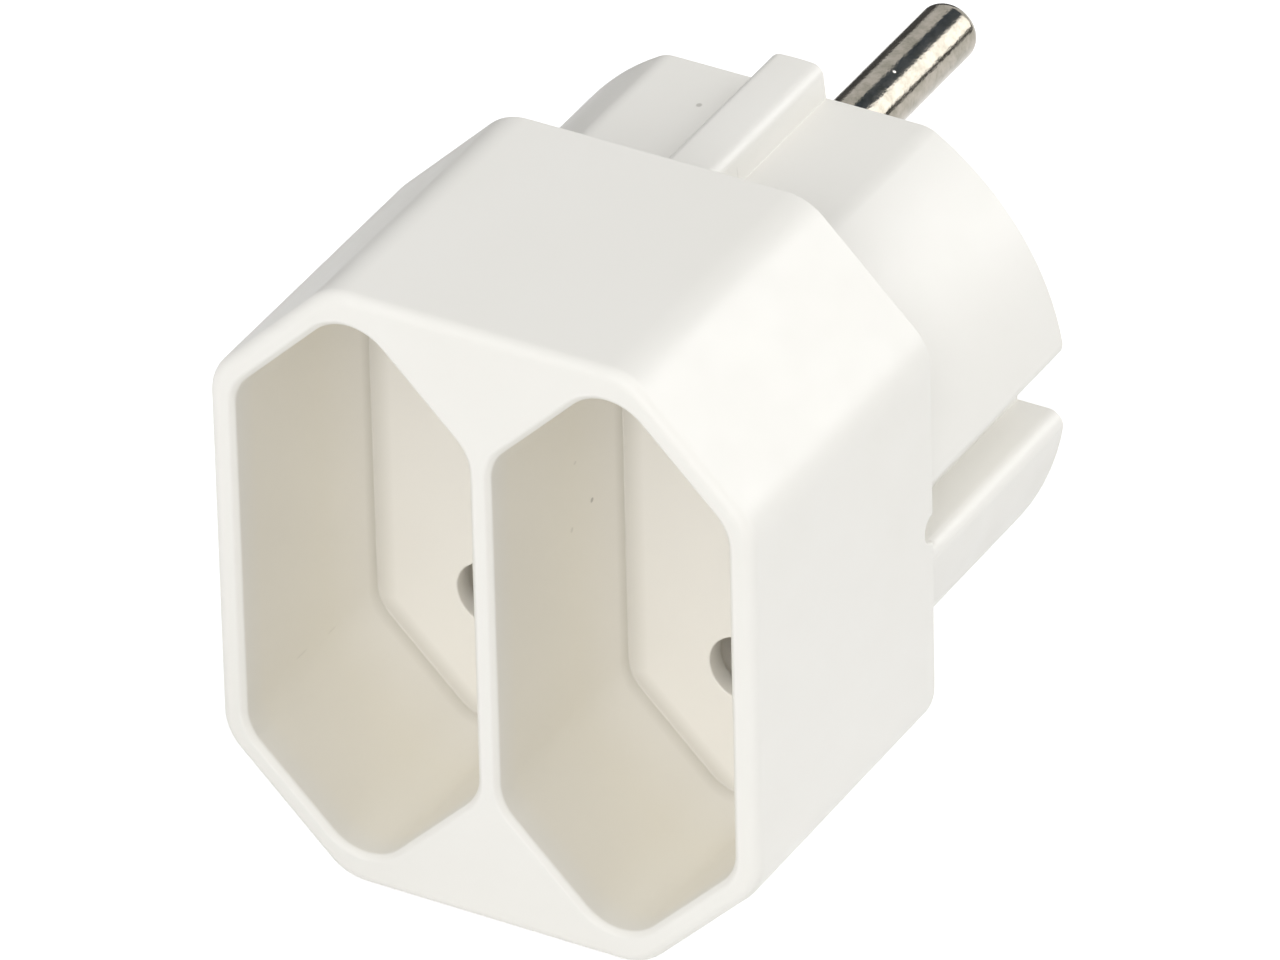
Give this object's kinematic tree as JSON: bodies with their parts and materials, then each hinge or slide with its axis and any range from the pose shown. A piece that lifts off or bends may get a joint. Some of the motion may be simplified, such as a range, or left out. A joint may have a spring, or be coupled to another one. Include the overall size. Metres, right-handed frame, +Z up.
{
  "type": "multi socket adapter",
  "caption": "White mains adapter: a block with side-by-side recessed wells for flat plugs, on a round contour plug with solid round pins.",
  "frame": {"origin": "centre of the plug's face, on the flat between the two pins", "axes": "+X to the right seen from the wells, +Y along the pins away from the body, +Z up along the wells' long axes"},
  "size_m": [0.037, 0.0595, 0.0424],
  "materials": {
    "housing_plastic": "satin moulded white, very slightly warm",
    "carrier_plastic": "plain moulded off-white, hidden, guessed",
    "pin_metal": "nickel plated brass, drawn lengthwise, lightly tarnished",
    "contact_brass": "stamped strip, hidden, guessed",
    "clip_bronze": "folded spring strip, hidden, guessed"
  },
  "bodies": {
    "root": {"front_housing": "housing_plastic", "plug_housing": "housing_plastic", "contact_carrier": "carrier_plastic", "plug_pin_upper": "pin_metal", "plug_pin_lower": "pin_metal", "busbar_upper": "contact_brass", "busbar_lower": "contact_brass", "contact_clip_upper_left": "clip_bronze", "contact_clip_upper_right": "clip_bronze", "contact_clip_lower_left": "clip_bronze", "contact_clip_lower_right": "clip_bronze", "clip_rivets": "contact_brass"}
  },
  "joints": []
}
